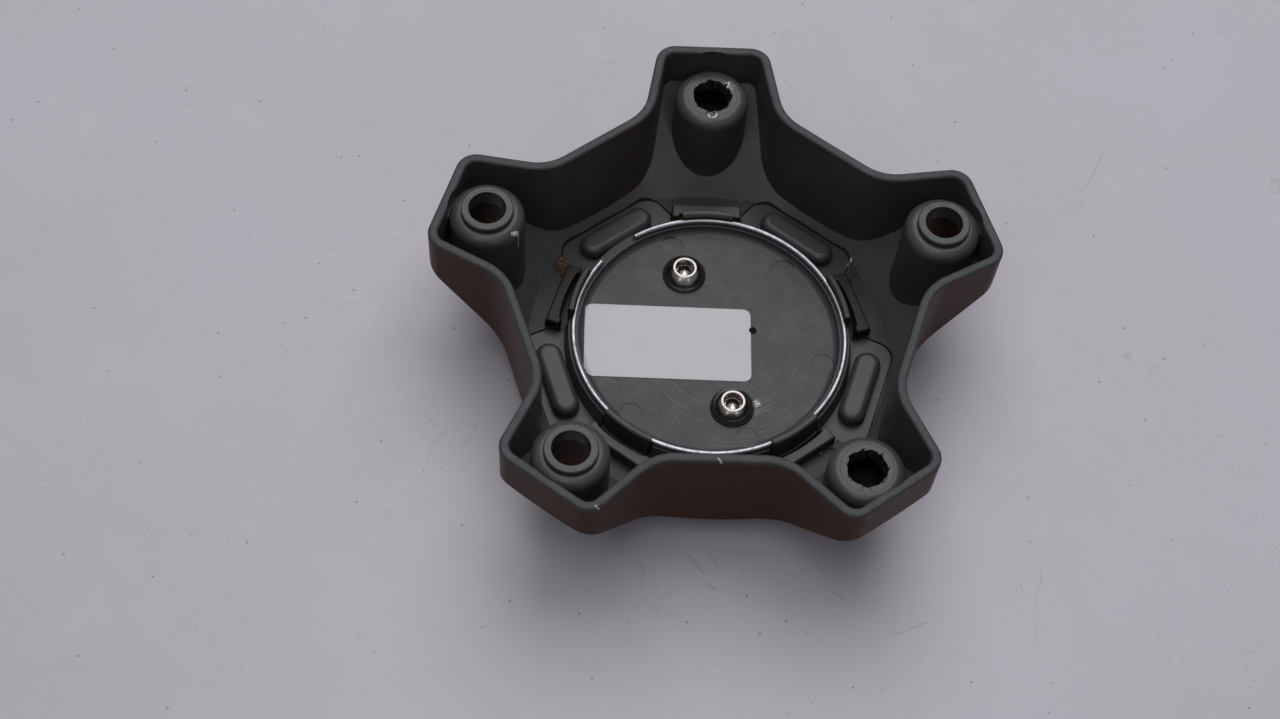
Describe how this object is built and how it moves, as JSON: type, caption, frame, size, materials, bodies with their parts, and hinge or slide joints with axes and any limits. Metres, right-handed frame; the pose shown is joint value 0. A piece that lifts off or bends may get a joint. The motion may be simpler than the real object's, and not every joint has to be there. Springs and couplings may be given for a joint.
{
  "type": "wheel centre cap",
  "caption": "Star-shaped wheel centre cap with an open back, hollow bolt bosses in its lobes, and a round clipped centre insert with a retaining wire, screws and a blank label.",
  "frame": {"origin": "on the cap's axis, on the flat in the middle of the front cover, where the cap lies on the table face down", "axes": "+Z along the cap's axis from the front to the open back, +Y through the lobe that is at the top of the picture, +X to the right as seen from the back"},
  "size_m": [0.1738, 0.1659, 0.05],
  "materials": {
    "shell_plastic": "satin grey moulded plastic, painted brown on its outer faces",
    "insert_plastic": "satin grey moulded plastic",
    "wire_steel": "bright plated wire",
    "screw_steel": "bright zinc plate",
    "label_paper": "white paper label, left blank",
    "cover_paint": "dark brown paint",
    "black_lining": "rough broken black plastic"
  },
  "bodies": {
    "root": {"star_shell": "shell_plastic", "centre_insert": "insert_plastic", "retaining_ring": "wire_steel", "screw_upper": "screw_steel", "screw_lower": "screw_steel", "label": "label_paper", "centre_cover": "cover_paint", "broken_lining_top": "black_lining", "broken_lining_right": "black_lining"}
  },
  "joints": []
}
